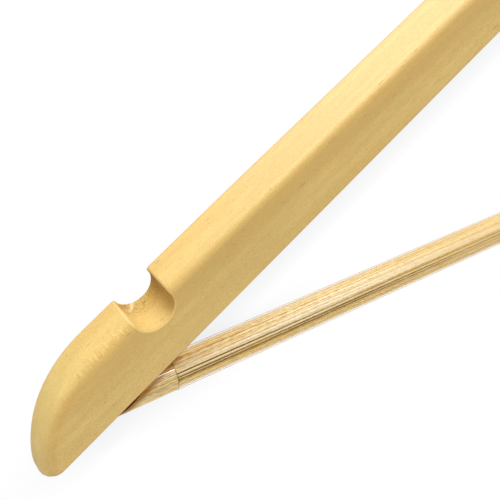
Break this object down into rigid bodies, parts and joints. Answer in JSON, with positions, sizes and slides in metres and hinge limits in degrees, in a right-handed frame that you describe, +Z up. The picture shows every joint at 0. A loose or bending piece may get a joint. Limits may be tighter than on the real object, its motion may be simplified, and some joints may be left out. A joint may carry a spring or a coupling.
{
  "type": "suit hanger",
  "caption": "Flat natural wooden suit hanger with sloping arms, a strap notch near each tip, a round trouser bar in a clear ribbed sleeve, and a swivelling wire hook.",
  "frame": {"origin": "the point at the top inside the hook's crook where a wardrobe rail carries the hanger", "axes": "+Z up as the hanger hangs, X along the trouser bar, -Y towards the front face; the hook opens towards -X"},
  "size_m": [0.445, 0.012, 0.2288],
  "materials": {
    "left_wood": "natural wood under satin clear lacquer",
    "right_wood": "natural wood under satin clear lacquer",
    "bar_wood": "coarse grained dowel under gloss clear lacquer",
    "clear_vinyl": "clear ribbed vinyl",
    "brad_steel": "bright drawn wire",
    "plated_wire": "bright plated",
    "plated_fittings": "bright plated"
  },
  "bodies": {
    "hook": {"hook": "plated_wire", "hook_nut": "plated_fittings"},
    "hanger": {"left_arm": "left_wood", "right_arm": "right_wood", "trouser_bar": "bar_wood", "bar_sleeve": "clear_vinyl", "left_bar_brad": "brad_steel", "right_bar_brad": "brad_steel", "hook_ferrule": "plated_fittings", "hook_washer": "plated_fittings"}
  },
  "joints": [
    {"name": "hook_swivel", "type": "hinge", "parent": "hook", "child": "hanger", "pos_m": [0, 0, -0.0795], "axis": [0, 0, 1], "continuous": true}
  ]
}
